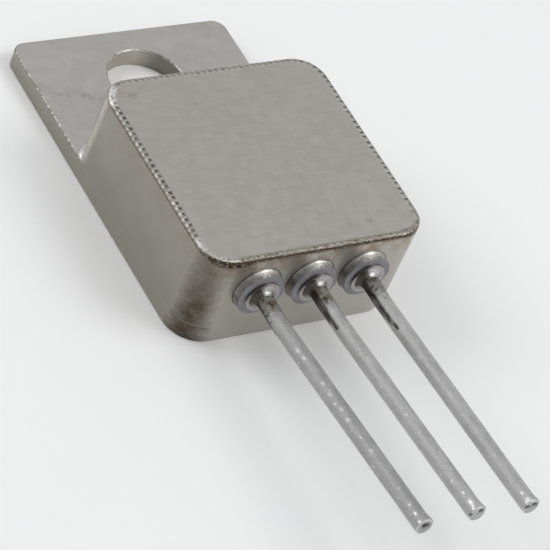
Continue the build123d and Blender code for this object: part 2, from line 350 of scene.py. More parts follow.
def tab_material():
    """Tab: clean satin top with a stain by the hole, painted shade on the sides and a worn top
    edge.
    """
    s, colour, rough, normal = satin_nickel(
        "satin_tab", light=(0.655, 0.625, 0.595), dark=(0.600, 0.573, 0.545)
    )
    upward = s.facing("Z")
    from_axis = s.length(s.scaled(s.place, (1, 1, 0)))
    by_wall = s.ramp(s.axis("Y"), -2.8 * MM, -1.0 * MM, 0.10, 0.0)
    colour = s.mix(by_wall, colour, (1.0, 1.0, 1.0))
    colour = tab_stain(s, colour)
    colour = tab_sides(s, colour, s.ramp(upward, 0.15, 0.55, 1.0, 0.0), from_axis)
    # worn top edge, with a painted highlight round the hole
    colour = worn_edges_and_rim_highlight(s, colour, upward, from_axis)
    # painted dark reflection and shadow by the front left corner
    colour = grime_and_dark_reflection(s, colour, shift=0.09 * MM)
    return s.finish(colour, rough, normal)


def seam_material():
    """Braze seam under the walls: like them where thin, bright as a fillet, with a painted glint.
    """
    s, colour, rough, normal = satin_nickel("seam_braze")
    tone = side_shade_and_tarnish(s)
    tone = s.mix(0.65, tone, grime_and_dark_reflection(s, tone))
    foot = s.ramp(s.facing("Z", "Normal"), 0.75, 0.985)
    fillet = s.times(s.attribute("fillet"), s.minus(1.0, foot))
    tone = s.mix(fillet, tone, (0.72, 0.70, 0.67))
    tone = s.mix(foot, tone, (0.630, 0.600, 0.572))
    # painted glint on the fillet by the rear left corner
    glint = s.blot((-4.95, -3.35, TAB_HIGH.z / MM + 0.1), 0.75)
    tone = s.mix(s.times(glint, fillet), tone, (1.0, 0.99, 0.97))
    rough = s.minus(rough, s.times(fillet, 0.10))
    return s.finish(s.darkened(colour, 1.0, tone), rough, normal)


def bead_material():
    """Weld metal: satin, with painted highlights on crests and melt, painted shade in pits, valleys
    and gap.
    """
    s = Shader("weld_bead")
    speck = s.noise(0.06 * MM)
    cloud = s.noise(0.4 * MM)
    colour = s.mix(s.ramp(speck, 0.35, 0.65), (0.40, 0.380, 0.345), (0.52, 0.495, 0.455))
    colour = s.mix(s.ramp(cloud, 0.4, 0.62, 0.0, 0.45), colour, (0.40, 0.395, 0.34))
    front = s.ramp(s.axis("Y"), WALL_LOW.y + 0.2 * MM, WALL_LOW.y + 0.7 * MM, 0.8, 0.0)
    colour = s.darkened(colour, front, (0.77, 0.71, 0.65))
    # the smooth melt at two corners is painted bright as a highlight
    colour = s.mix(s.attribute("melt"), colour, (0.90, 0.89, 0.865))
    colour = s.mix(s.attribute("toe"), colour, (0.60, 0.575, 0.54))
    # painted shade between the crests, painted highlight on them, painted shade in the pits and gap
    colour = s.darkened(colour, s.attribute("valley"), (0.28, 0.27, 0.25))
    colour = s.mix(s.attribute("crest"), colour, (0.77, 0.75, 0.715))
    colour = s.mix(s.attribute("pit"), colour, (0.085, 0.082, 0.070))
    colour = s.mix(s.attribute("gap"), colour, (0.065, 0.050, 0.034))
    rough = s.plus(s.ramp(speck, 0.3, 0.7, 0.44, 0.54), s.times(s.attribute("melt"), 0.08))
    normal = s.bump(speck, 0.006 * MM, 0.5)
    return s.finish(colour, rough, normal)


def braze_material():
    """Bright braze, darkened by painted shade where the streak value says."""
    s = Shader("bright_braze")
    speck = s.noise((0.40 * MM, 0.06 * MM, 0.05 * MM))
    colour = s.mix(s.ramp(speck, 0.38, 0.62), (0.62, 0.60, 0.57), (0.90, 0.89, 0.87))
    colour = s.mix(s.attribute("streak"), colour, (0.085, 0.072, 0.060))
    rough = s.ramp(speck, 0.3, 0.7, 0.33, 0.45)
    normal = s.bump(speck, 0.008 * MM, 0.5)
    return s.finish(colour, rough, normal)


def eyelet_material():
    """Grey-violet fired ceramic."""
    s = Shader("eyelet_ceramic")
    cloud = s.noise(0.35 * MM, detail=4)
    colour = s.mix(s.ramp(cloud, 0.35, 0.65), (0.195, 0.190, 0.208), (0.245, 0.240, 0.260))
    rough = s.ramp(cloud, 0.3, 0.7, 0.35, 0.5)
    normal = s.bump(s.noise(0.05 * MM, detail=2), 0.005 * MM, 0.5)
    s.surface.inputs["Coat Weight"].default_value = 0.15
    s.surface.inputs["Coat Roughness"].default_value = 0.3
    return s.finish(colour, rough, normal, metallic=0.0)


def pad_material():
    """Satin pad round a lead's root, with a painted shadow arc along the upper left of its rim."""
    low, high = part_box("terminal_washer_2")
    radius = (high.x - low.x) / 2
    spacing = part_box("terminal_washer_3")[0].x - low.x
    s = Shader("terminal_pad")
    speck = s.noise(0.12 * MM)
    colour = s.mix(s.ramp(speck, 0.35, 0.65), (0.40, 0.385, 0.37), (0.50, 0.485, 0.465))
    across = s.math("WRAP", s.axis("X"), spacing / 2, -spacing / 2)
    up = s.minus(s.axis("Z"), (low.z + high.z) / 2)
    span = s.math("SQRT", s.plus(s.times(across, across), s.times(up, up)))
    to_upper_left = s.math("DIVIDE", s.minus(s.times(up, 0.64), s.times(across, 0.77)), span)
    # painted shadow along the upper left of the rim
    arc = s.times(s.ramp(to_upper_left, 0.60, 0.88), s.ramp(span, radius * 0.87, radius * 0.96))
    colour = s.darkened(colour, arc, (0.30, 0.29, 0.28))
    normal = s.bump(speck, 0.006 * MM, 0.4)
    return s.finish(colour, s.ramp(speck, 0.3, 0.7, 0.32, 0.44), normal)


def solder_material():
    """Solder-dipped lead: cool grey with small beads in painted highlights, bare metal painted dark
    at the root.
    """
    s = Shader("solder_dip")
    cloud = s.noise((0.30 * MM, 1.1 * MM, 0.30 * MM), detail=4)
    speck = s.noise(0.07 * MM)
    colour = s.mix(s.ramp(cloud, 0.32, 0.68), (0.45, 0.45, 0.445), (0.56, 0.56, 0.555))
    colour = s.mix(s.ramp(speck, 0.45, 0.7, 0.0, 0.45), colour, (0.66, 0.66, 0.65))
    colour = s.mix(s.ramp(speck, 0.50, 0.32, 0.0, 0.30), colour, (0.40, 0.40, 0.39))
    left_lead = s.ramp(s.axis("X"), -2.0 * MM, -1.3 * MM, 0.8, 0.0)
    colour = s.darkened(colour, left_lead, (0.84, 0.84, 0.84))
    # painted highlights on the solder beads, pimples and tip
    colour = s.mix(s.attribute("shine"), colour, (0.88, 0.88, 0.88))
    colour = s.mix(s.attribute("root"), colour, (0.185, 0.150, 0.118))
    # bare metal painted dark as its reflection, dark spots, and painted shade in the end's hollows
    colour = s.mix(s.attribute("bare_and_shaded"), colour, (0.040, 0.033, 0.026))
    rough = s.minus(s.ramp(cloud, 0.3, 0.7, 0.64, 0.74), s.times(s.attribute("shine"), 0.25))
    normal = s.bump(speck, 0.006 * MM, 0.45)
    normal = s.bump(cloud, 0.02 * MM, 0.3, under=normal)
    return s.finish(colour, rough, normal)


def plain_metal(name, light, dark, roughness, spread=0.06, grain=0.006 * MM, metallic=1.0):
    """Plain look of a hidden piece, metal unless it is told otherwise."""
    s = Shader(name)
    speck = s.noise(0.12 * MM)
    colour = s.mix(s.ramp(speck, 0.35, 0.65), dark, light)
    rough = s.ramp(speck, 0.3, 0.7, roughness - spread, roughness + spread)
    return s.finish(colour, rough, s.bump(speck, grain, 0.4), metallic)


def dull_solid(name, light, dark, roughness):
    """Ceramic or silicon of the hidden pieces."""
    return plain_metal(name, light, dark, roughness, spread=0.05, grain=0.004 * MM, metallic=0.0)


# -------- mesh helpers

def placed(name, data):
    """A new object in the scene, made of a mesh, lamp or camera."""
    item = bpy.data.objects.new(name, data)
    bpy.context.scene.collection.objects.link(item)
    return item


def grid_piece(name, points, material, values, close_rows=True, crease=70):
    """Smooth mesh over a grid of points, shape (rows, columns, 3), with named point values."""
    rows, columns = points.shape[:2]
    index = np.arange(rows * columns).reshape(rows, columns)
    down = np.roll(index, -1, axis=0) if close_rows else index[1:]
    here = index if close_rows else index[:-1]
    right_here, right_down = np.roll(here, -1, axis=1), np.roll(down, -1, axis=1)
    faces = np.stack([here, right_here, right_down, down], axis=-1).reshape(-1, 4)
    mesh = bpy.data.meshes.new(name)
    mesh.from_pydata(points.reshape(-1, 3).tolist(), [], faces.tolist())
    for key, value in values.items():
        layer = mesh.attributes.new(key, "FLOAT", "POINT")
        layer.data.foreach_set("value", np.clip(value, 0, 1).astype(np.float32).ravel())
    mesh.polygons.foreach_set("use_smooth", np.ones(len(mesh.polygons), bool))
    mesh.update()
    mesh.set_sharp_from_angle(angle=math.radians(crease))
    mesh.materials.append(material)
    piece = placed(name, mesh)
    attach(piece, "root")
    return piece


def clouds(points, size, seed=0.0):
    """Smooth random field from -1 to 1 at each point, with patches about size across."""
    flat = points.reshape(-1, 3) / size + seed
    values = [noise.noise(p) for p in flat.tolist()]
    return np.array(values).reshape(points.shape[:-1])


def smoothstep(low, high, value):
    t = np.clip((value - low) / (high - low), 0, 1)
    return t * t * (3 - 2 * t)


def resampled(profile, count, closed=True):
    """Evenly spaced points along a closed outline, or along an open line with both its ends."""
    line = np.vstack([profile, profile[:1]]) if closed else profile
    steps = np.r_[0, np.cumsum(np.linalg.norm(np.diff(line, axis=0), axis=1))]
    at = np.linspace(0, steps[-1], count, endpoint=not closed)
    return np.stack([np.interp(at, steps, line[:, i]) for i in (0, 1)], axis=1)


def near(points, centre, inner, outer):
    """1 at points within the inner distance of a centre, 0 past the outer one (millimetres)."""
    span = np.linalg.norm(points - np.array(centre) * MM, axis=1)
    return smoothstep(outer * MM, inner * MM, span)[:, None]


def body_loop(count, inset):
    """Points and outward directions at even steps round the walls, drawn in by an inset.

    The loop starts at the front end of the left side and runs by the rear and the right.
    """
    half_x = (WALL_HIGH.x - WALL_LOW.x) / 2 - inset
    half_y = (WALL_HIGH.y - WALL_LOW.y) / 2 - inset
    radius = BODY_CORNER - inset
    centre = np.array([(WALL_HIGH.x + WALL_LOW.x) / 2, (WALL_HIGH.y + WALL_LOW.y) / 2])
    cx, cy = half_x - radius, half_y - radius
    arc = radius * math.pi / 2
    lengths = [2 * cy, arc, 2 * cx, arc] * 2
    ends = np.cumsum(lengths)
    at = (np.arange(count) + 0.5) * ends[-1] / count
    points, outwards = np.zeros((count, 2)), np.zeros((count, 2))
    corners = [(-cx, cy), (cx, cy), (cx, -cy), (-cx, -cy)]
    for i, distance in enumerate(at):
        part = int(np.searchsorted(ends, distance))
        along = distance - (ends[part - 1] if part else 0)
        side, on_corner = divmod(part, 2)
        start = math.pi - side * math.pi / 2
        angle = start - along / radius if on_corner else start
        out = np.array([math.cos(angle), math.sin(angle)])
        points[i] = np.array(corners[side]) + out * radius
        if not on_corner:
            forward = np.array([math.sin(start), -math.cos(start)])
            points[i] -= forward * (lengths[part] - along)
        outwards[i] = out
    return points + centre, outwards, ends[-1]


# -------- weld bead

NUGGET_PITCH = 0.30 * MM
STEPS_PER_NUGGET = 16
CENTRE_INSET = 0.16 * MM      # walls' outline to the line through the nuggets, on average
# section of the bead, as distance in from the walls' outline and height above the lid, in mm
BEAD_TOP = (
    (0.44, -0.014), (0.39, -0.003), (0.33, 0.005), (0.26, 0.010), (0.20, 0.010), (0.155, 0.002),
    (0.12, -0.014), (0.09, -0.037), (0.06, -0.064), (0.035, -0.088), (0.020, -0.097),
)
BEAD_UNDER = ((0.10, -0.097), (0.22, -0.097), (0.33, -0.080), (0.40, -0.045))
TOP_POINTS = 34               # points along the top once it is evenly divided
# spots on the outline, in mm: smooth melt painted bright as a highlight at both left corners,
# painted bright and dark specks at the front right
REAR_MELT = (-4.98, -3.95)
FRONT_MELT = (-4.45, -12.60)
FRONT_SPECKS = (4.75, -13.05)
# each side's own nuggets: values for the left, rear, right and front side, lengths in mm
PIT_INSET = (0.228, 0.222, 0.207, 0.15)
PIT_LEAN = (-24, 45, 10, 10)                      # degrees
PIT_HALF_LENGTH = (0.086, 0.088, 0.074, 0.080)
PIT_HALF_WIDTH = (0.076, 0.052, 0.084, 0.050)
PIT_DEPTH = (0.052, 0.024, 0.045, 0.012)
# painted: shade in pits, highlights on crests, shade between them, highlights and shade on grains
PIT_SHADE = (0.95, 0.62, 0.85, 0.35)
CREST_INSET = (0.125, 0.15, 0.17, 0.10)
CREST_SHADE = (0.78, 0.58, 0.22, 0.25)
VALLEY_SHADE = (0.85, 0.1, 0.2, 0.5)              # between the crests
GRAIN_SHADE = (0.0, 0.15, 0.60, 1.0)
ROUGHNESS = (0.5, 0.6, 0.7, 1.5)
BULGE = (0, 0.045, 0.090, 0)                      # how far the free side stands out
TOE_SHIFT = (-0.06, 0.08, 0.06, -0.02)            # of the smooth toe, away from the lid
# painted shade in the gap under the free side, and on its lower lip with dark scale in front
UNDER_SHADE = (0.12, 0.10, 0.20, 0.60)              # under the free side
LIP_SHADE_AND_SCALE = (0.10, 0, 0.1, 0.80)                  # on its lower lip
CREST_HALF_LENGTH, CREST_HALF_WIDTH = 0.080, 0.072


class BeadGrid:
    """Grid over the weld bead, with a row of section points at each step round the walls."""

    def __init__(self):
        _, _, around = body_loop(4, CENTRE_INSET)
        self.nuggets = round(around / NUGGET_PITCH)
        self.pitch = around / self.nuggets
        count = self.nuggets * STEPS_PER_NUGGET
        self.line, self.outward, _ = body_loop(count, CENTRE_INSET)
        top = resampled(np.array(BEAD_TOP), TOP_POINTS, closed=False)
        section = np.vstack([top, BEAD_UNDER]) * MM
        self.inset = np.broadcast_to(section[:, 0], (count, len(section)))
        self.level = np.broadcast_to(section[:, 1], (count, len(section)))
        along = (np.arange(count) + 0.5) / STEPS_PER_NUGGET
        self.along = along[:, None] * np.ones_like(self.inset)
        base = self.points(CENTRE_INSET - self.inset, LID_HIGH.z + self.level)
        self.coarse, self.medium = clouds(base, 0.5 * MM), clouds(base, 0.16 * MM, seed=5.1)
        self.fine, self.grit = clouds(base, 0.09 * MM, seed=7.3), clouds(base, 0.05 * MM, seed=2.9)
        self.rear_melt = near(self.line, REAR_MELT, 0.42, 0.74)
        self.front_melt = near(self.line, FRONT_MELT, 0.75, 1.15)
        self.specks = near(self.line, FRONT_SPECKS, 0.6, 1.3)
        molten = 0.85 * self.rear_melt + 0.8 * self.front_melt + 0.7 * self.specks
        self.calm = np.clip(1 - molten, 0, 1)

    def points(self, out, height):
        """Points at distances out from the line through the nuggets."""
        ring = self.line[:, None] + self.outward[:, None] * out[..., None]
        return np.dstack([ring, height])

    def by_side(self, left, rear, right, front):
        """A value for each side of the body, blended round its corners."""
        to_low = self.outward ** 2 * (self.outward < 0)
        to_high = self.outward ** 2 * (self.outward > 0)
        return (left * to_low[:, :1] + rear * to_high[:, 1:]
                + right * to_high[:, :1] + front * to_low[:, 1:])


def nugget_marks(grid):
    """What the pits take off the height, and the share of painted pit shade and crest highlight at
    each point.
    """
    pit_inset, crest_inset, half_length, half_width, pit_depth = (
        grid.by_side(*values) * MM
        for values in (PIT_INSET, CREST_INSET, PIT_HALF_LENGTH, PIT_HALF_WIDTH, PIT_DEPTH)
    )
    lean = np.radians(grid.by_side(*PIT_LEAN))
    pit_shade = grid.by_side(*PIT_SHADE)
    rng = np.random.default_rng(11)
    shift = rng.normal(0, 0.06, grid.nuggets)
    sway = rng.normal(0, 0.016, grid.nuggets) * MM
    depth = rng.uniform(0.70, 1.25, grid.nuggets)
    size = rng.uniform(0.85, 1.15, grid.nuggets)
    gleam = rng.uniform(0.35, 1.0, grid.nuggets)
    drop, pit, crest = (np.zeros_like(grid.inset) for _ in range(3))
    for step in (-1, 0, 1):
        k = (np.floor(grid.along).astype(int) + step) % grid.nuggets
        a = (grid.along - (np.floor(grid.along) + step + 0.5 + shift[k])) * grid.pitch
        b = grid.inset - pit_inset - sway[k]
        u = (a * np.cos(lean) + b * np.sin(lean)) / half_length
        v = (b * np.cos(lean) - a * np.sin(lean)) / half_width
        hole = np.exp(-0.7 * (np.hypot(u, v) / size[k]) ** 3)
        drop += pit_depth * hole * depth[k]
        pit = np.maximum(pit, hole * pit_shade * np.clip(depth[k], 0, 1))
        rim = np.hypot((a - 0.02 * MM) / (CREST_HALF_LENGTH * MM),
                       (grid.inset - crest_inset) / (CREST_HALF_WIDTH * MM))
        crest = np.maximum(crest, np.exp(-rim ** 2) * gleam[k])
    return drop, pit, crest


def bead_surface(grid, drop, crest):
    """The bead's points: pits and grains on its top, and swollen crests on its free side."""
    inset, level, calm = grid.inset, grid.level, grid.calm
    rough = grid.by_side(*ROUGHNESS) * (1 + 0.4 * grid.front_melt)
    lift = (0.007 * grid.fine + 0.005 * grid.grit) * rough + (0.016 * crest - 0.006) * calm
    lift = lift * MM - drop * calm
    lift *= smoothstep(-0.05 * MM, -0.015 * MM, level) * smoothstep(0.46 * MM, 0.36 * MM, inset)
    side = smoothstep(-0.005 * MM, -0.04 * MM, level) * smoothstep(0.30 * MM, 0.12 * MM, inset)
    grains = (0.004 * grid.coarse + 0.006 * grid.fine + 0.004 * grid.grit) * rough
    swell = (0.022 * crest - 0.010 + grains) * side
    bulge = grid.by_side(*BULGE) * (level > -0.08 * MM)
    out = CENTRE_INSET - inset + (swell + bulge) * MM
    out = np.minimum(out, CENTRE_INSET + WALL_LOW.x - BEAD_LOW.x)
    height = np.clip(LID_HIGH.z + level + lift, WALL_HIGH.z + 0.002 * MM, BEAD_HIGH.z)
    return grid.points(out, height)


def bead_shades(grid, pit, crest):
    """How far each of the bead's looks shows at each point: mostly painted highlights and shade."""
    inset, level, calm = grid.inset, grid.level, grid.calm
    medium, fine = grid.medium, grid.fine
    grains = grid.by_side(*GRAIN_SHADE) * smoothstep(0.30 * MM, 0.20 * MM, inset)
    grains = np.maximum(grains, grid.specks * smoothstep(0.46 * MM, 0.34 * MM, inset))
    outer = smoothstep(0.17 * MM, 0.11 * MM, inset)
    valley = (1 - crest) * outer * grid.by_side(*VALLEY_SHADE) * calm
    # painted shade in the pits and on dark grains; painted highlights on crests and bright grains
    dark = np.maximum(pit * calm, 0.65 * grains * smoothstep(0.05, 0.45, -medium))
    crest = crest * grid.by_side(*CREST_SHADE) * calm
    bright = np.maximum(crest, 0.55 * grains * smoothstep(0.15, 0.5, fine))
    melt = np.clip(grid.rear_melt + 0.55 * grid.front_melt, 0, 1)
    melt = melt * smoothstep(-0.6, 0.1, fine + 0.4 * grid.coarse)
    melt *= smoothstep(0.44 * MM, 0.26 * MM, inset + 0.06 * MM * medium)
    melt *= smoothstep(-0.10 * MM, -0.05 * MM, level)
    toe = smoothstep(0.22 * MM, 0.40 * MM, inset + grid.by_side(*TOE_SHIFT) * MM) * (1 - melt)
    return {"pit": dark, "crest": bright, "valley": valley, "gap": gap_shade_and_scale(grid), "melt": melt,
            "toe": toe}


def gap_shade_and_scale(grid):
    """Painted shade in the gap under the bead's free side, with dark scale that creeps over its lip
    in front.
    """
    low = smoothstep(-0.045 * MM, -0.075 * MM, grid.level)
    ragged = grid.level + (0.014 * grid.fine + 0.012 * grid.medium) * MM
    lip = smoothstep(-0.012 * MM, -0.034 * MM, ragged)
    lip = lip * smoothstep(-0.75, 0.1, grid.medium + 0.6 * grid.grit)
    gap = low * grid.by_side(*UNDER_SHADE) + lip * (grid.by_side(*LIP_SHADE_AND_SCALE) + 0.45 * grid.front_melt)
    return gap * (1 - 0.75 * near(grid.line, FRONT_SPECKS, 0.2, 0.8))


def weld_bead():
    """Chain of overlapping nuggets, each with a leaning pit in painted shade and a crest with a
    painted highlight.
    """
    grid = BeadGrid()
    drop, pit, crest = nugget_marks(grid)
    piece = grid_piece("weld_bead", bead_surface(grid, drop, crest), bead_material(),
                       bead_shades(grid, pit, crest))
    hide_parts("lid_weld_bead")


# -------- braze seam

SEAM_STEPS = 900
SEAM_FOOT = 0.26 * MM         # reach of the fillet over the tab behind the rear wall
SEAM_LEDGE = 0.04 * MM        # bare strip between the fillet and the tab's side edge
SEAM_DEPTH = 0.9 * MM         # how far the seam runs in under the walls
# section of the fillet, as shares of its foot and height
SEAM_CURVE = (
    (1.0, 0.0), (0.9, 0.006), (0.79, 0.026), (0.66, 0.065), (0.52, 0.13), (0.38, 0.225),
    (0.26, 0.35), (0.15, 0.51), (0.06, 0.72), (0.0, 1.0),
)


def braze_seam():
    """Braze between the walls and the tab, with a hollow fillet on the tab behind the rear wall."""
    line, outward, _ = body_loop(SEAM_STEPS, 0)
    layer = WALL_LOW.z - TAB_HIGH.z
    ledge = (WALL_HIGH.x - np.abs(line[:, 0])) / np.maximum(np.abs(outward[:, 0]), 1e-6)
    foot = np.clip(ledge - SEAM_LEDGE, 0, SEAM_FOOT) * smoothstep(0.05, 0.35, outward[:, 1])
    foot = foot[:, None]
    curve = np.array(SEAM_CURVE)
    out = foot * curve[:, 0]
    rise = (layer + foot) * curve[:, 1]
    waves = clouds(np.dstack([line[:, None] + out[..., None], rise]), 0.4 * MM, seed=4.4)
    out = out * (1 + 0.10 * waves) - 0.001 * MM
    under = np.ones((SEAM_STEPS, 2))
    out = np.hstack([out, -SEAM_DEPTH * under])
    rise = np.hstack([rise, under * [layer * 0.98, 0]])
    ring = line[:, None] + outward[:, None] * out[..., None]
    points = np.dstack([ring, TAB_HIGH.z + rise])
    piece = grid_piece("braze_seam", points, seam_material(),
                       {"fillet": np.broadcast_to(foot / SEAM_FOOT, out.shape)}, crease=50)
    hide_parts("frame_braze")


# -------- feedthroughs

RING_COLUMNS = 96             # steps round a turned ring
RING_POINTS = 40              # points round its section
QUARTER = np.linspace(0, math.pi / 2, 9)
# painted shade on the braze round an eyelet and round a lead's root, by the angle from +X in
# degrees;
# it leaves their tops bright as a painted highlight
COLLAR_SHADES = (
    (0, 0.50), (38, 0.40), (58, 0.0), (105, 0.0), (122, 0.45), (150, 0.70), (190, 0.70),
    (210, 0.48), (235, 0.4), (300, 0.5), (360, 0.50),
)
ROOT_SHADES = (
    (0, 0.7), (40, 0.45), (64, 0.25), (102, 0.25), (118, 0.9), (140, 1.0), (210, 1.0),
    (235, 0.6), (290, 0.7), (360, 0.7),
)


def turned_piece(name, centre, profile, material, shading, wobble, foot_shadow=0.0):
    """Closed ring turned about a lead's root, with painted shade from its (degree, shade) pairs.

    The profile is (radius, distance out of the wall) in millimetres. The ring's outside strays by
    the wobble, in millimetres, and the last argument paints a shadow at its foot.
    """
    profile = resampled(np.array(profile) * MM, RING_POINTS)
    turn = (np.arange(RING_COLUMNS) / RING_COLUMNS * TAU)[:, None] * np.ones(RING_POINTS)
    radius, out = (np.broadcast_to(profile[:, i], turn.shape) for i in (0, 1))
    circle = np.dstack([np.cos(turn), turn * 0, np.sin(turn)])
    ripple = clouds((circle + [0, 0.3, 0]) * 9, 1, seed=centre.x / MM)
    radius = radius + ripple * wobble * MM * smoothstep(0.0, 0.03 * MM, out)
    points = np.array(centre) + circle * radius[..., None] - np.array([0, 1, 0]) * out[..., None]
    shade = np.interp(np.degrees(turn) % 360, *zip(*shading))
    # painted shade by angle, and a painted shadow at the ring's foot
    streak = shade + 0.15 * ripple + foot_shadow * smoothstep(0.07 * MM, 0.01 * MM, out)
    return grid_piece(name, points, material, {"streak": streak})


def collar_profile(eyelet, foot, wall, proud):
    """Sleeve in the bore and a hollow fillet that climbs the eyelet outside the wall."""
    sleeve = [(eyelet, wall), (eyelet + 0.05, wall), (eyelet + 0.05, 0), (foot, 0)]
    climb = [
        (eyelet + (foot - eyelet) * (1 - math.sin(t)), (proud - 0.05) * (1 - math.cos(t)))
        for t in QUARTER
    ]
    return sleeve + climb + [(eyelet + 0.02, proud - 0.02), (eyelet, proud - 0.02)]


def fillet_profile(lead, washer):
    """Small hollow fillet between a lead and its pad, which ends at washer out of the wall."""
    reach, climb = 0.24, 0.25
    curve = [
        (lead + reach * (1 - math.sin(t)), washer + climb * (1 - math.cos(t))) for t in QUARTER
    ]
    return [(lead, washer), *curve]


def feedthroughs():
    """The braze round each eyelet and the fillet round each lead's root."""
    braze = braze_material()
    for number in LEAD_NUMBERS:
        low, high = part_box(f"insulator_{number}")
        centre = Vector(((low.x + high.x) / 2, WALL_LOW.y, (low.z + high.z) / 2))
        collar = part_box(f"insulator_braze_{number}")
        wall = (WALL_LOW.y - collar[1].y) / MM
        proud = (WALL_LOW.y - low.y) / MM
        eyelet = (high.x - low.x) / 2 / MM
        foot = (collar[1].x - collar[0].x) / 2 / MM - 0.002
        profile = collar_profile(eyelet, foot, wall, proud)
        piece = turned_piece(f"braze_collar_{number}", centre, profile, braze, COLLAR_SHADES,
                             wobble=0.012, foot_shadow=0.5)
        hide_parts(f"insulator_braze_{number}")
        washer = (WALL_LOW.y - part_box(f"terminal_washer_{number}")[0].y) / MM
        lead = (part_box(f"lead_{number}")[1].x - centre.x) / MM
        profile = fillet_profile(lead, washer)
        piece = turned_piece(f"root_fillet_{number}", centre, profile, braze, ROOT_SHADES,
                             wobble=0.01)
        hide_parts(f"lead_braze_{number}")


# -------- leads

LEAD_ROWS_PER_MM = 24
LEAD_COLUMNS = 56
BEND_EASE = 0.25 * MM         # how gently a lead bends
ROOT_START = 0.5 * MM         # out of the wall, where the marks along a lead are measured from
TIP_EDGE = 0.09 * MM          # how far the tip's chamfer draws in
TIP_DOME = 0.065 * MM         # how far the end rings reach past the tube
TIP_HOLLOW = 0.08 * MM        # depth of the hollows in the end
TIP_RINGS = (                 # share of the radius, and distance past the tube in mm
    (0.97, 0.030), (0.90, 0.052), (0.80, 0.062), (0.70, 0.058), (0.58, 0.054), (0.45, 0.052),
    (0.33, 0.050), (0.20, 0.048), (0.08, 0.047),
)
FLAT_BEAD = 0.4               # height of the beads more than 1 mm back, as a share of the others'
# bare metal along each lead, painted dark as its reflection: its length in mm, its angle from +X at
# the root and at its end in degrees, and half its width in degrees there
DARK_STREAKS = {1: (1.9, 202, 212, 34, 12), 2: (2.4, 192, 158, 55, 10), 3: (3.0, 196, 152, 42, 9)}
# beads of solder on each lead, with painted highlights: mm back from its end, angle in degrees,
# radius in mm
SOLDER_BEADS = {
    1: ((0.04, 136, 0.05), (0.44, 126, 0.05), (0.90, 124, 0.035), (3.78, 124, 0.06),
        (5.50, 130, 0.07), (6.05, 124, 0.06), (6.90, 128, 0.06), (7.50, 124, 0.06),
        (8.95, 128, 0.07), (9.40, 134, 0.08)),
    2: ((0.03, 130, 0.05), (0.34, 116, 0.09), (0.16, 121, 0.05), (0.85, 122, 0.04)),
    3: ((0.02, 138, 0.05), (0.08, 112, 0.10), (0.48, 124, 0.05)),
}
# hollows in each lead's end: place across and up, half length and half height, by its radius
TIP_SLOTS = {
    1: ((0.14, 0.15, 0.43, 0.30),),
    2: ((0.36, 0.40, 0.28, 0.25), (-0.82, 0.10, 0.16, 0.20)),
    3: ((0.42, 0.28, 0.36, 0.22), (-0.50, 0.12, 0.34, 0.24)),
}


def lead_line(number):
    """Start, bend and direction of a lead, the length past its bend, and its radius."""
    mount = next(m for m in frame["record"]["mounts"] if m["name"] == f"lead_pin_{number}")
    root_low, root_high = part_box(f"terminal_washer_{number}")
    root = Vector(((root_low.x + root_high.x) / 2, root_high.y, (root_low.z + root_high.z) / 2))
    outward = Vector(mount["axis"])
    if outward.y > 0:
        outward.negate()
    on_axis = Vector(mount["pos_m"])
    bend = on_axis + outward * ((root.z - on_axis.z) / outward.z)
    inner = Vector((root.x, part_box(f"lead_{number}")[1].y, root.z))
    radius = mount["dims"]["r_mm"] * MM
    end_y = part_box(f"lead_{number}")[0].y + (radius - TIP_EDGE) * abs(outward.z)
    return inner, bend, outward, (bend.y - end_y) / -outward.y, radius


class LeadTube:
    """Grid round a bent lead, with a ring of points at each step from its inner end."""

    def __init__(self, number):
        self.number = number
        inner, bend, outward, reach, self.radius = lead_line(number)
        straight = inner.y - bend.y
        length = straight + reach - TIP_DOME
        at = np.linspace(0, length, int(length / MM * LEAD_ROWS_PER_MM))
        past = at - straight
        eased = np.sqrt(past ** 2 + BEND_EASE ** 2)
        level = np.array([0, -1.0, 0])
        turn = np.array(outward) - level
        self.axis = np.array(inner) + level * at[:, None] + turn * (0.5 * (eased + past))[:, None]
        self.tangent = level + turn * (0.5 * (past / eased + 1))[:, None]
        self.tangent /= np.linalg.norm(self.tangent, axis=1)[:, None]
        across = np.array([1.0, 0, 0])
        upward = np.cross(across, self.tangent)[:, None]
        self.angle = np.arange(LEAD_COLUMNS) / LEAD_COLUMNS * TAU
        self.spoke = across * np.cos(self.angle)[:, None] + upward * np.sin(self.angle)[:, None]
        self.ring = self.axis[:, None] + self.spoke * self.radius
        self.bearing = -self.angle[None]     # the columns run clockwise, seen from the lead's end
        self.to_tip = (length - at)[:, None] / MM
        from_root = WALL_LOW.y - ROOT_START - self.axis[:, 1]
        self.from_root = from_root[:, None] * np.ones(LEAD_COLUMNS) / MM

    def field(self, size, seed, stretch=1.0):
        """Smooth random field over the tube, another one for each lead; size is in mm."""
        return clouds(self.ring * stretch, size * MM, seed=self.number * seed)

    def turned_from(self, heading):
        """Angle between each column and a heading, both ways round."""
        return np.arccos(np.cos(self.bearing - heading))


def solder_beads(tube):
    """1 in the middle of each small bead of solder."""
    beads = np.zeros_like(tube.from_root)
    for back, heading, size in SOLDER_BEADS[tube.number]:
        aside = tube.turned_from(math.radians(heading)) * tube.radius / MM
        height = 1.0 if back < 1 else FLAT_BEAD
        bead = np.exp(-np.hypot(0.7 * (tube.to_tip - back), aside) ** 2 / size ** 2)
        beads = np.maximum(beads, height * bead)
    return beads


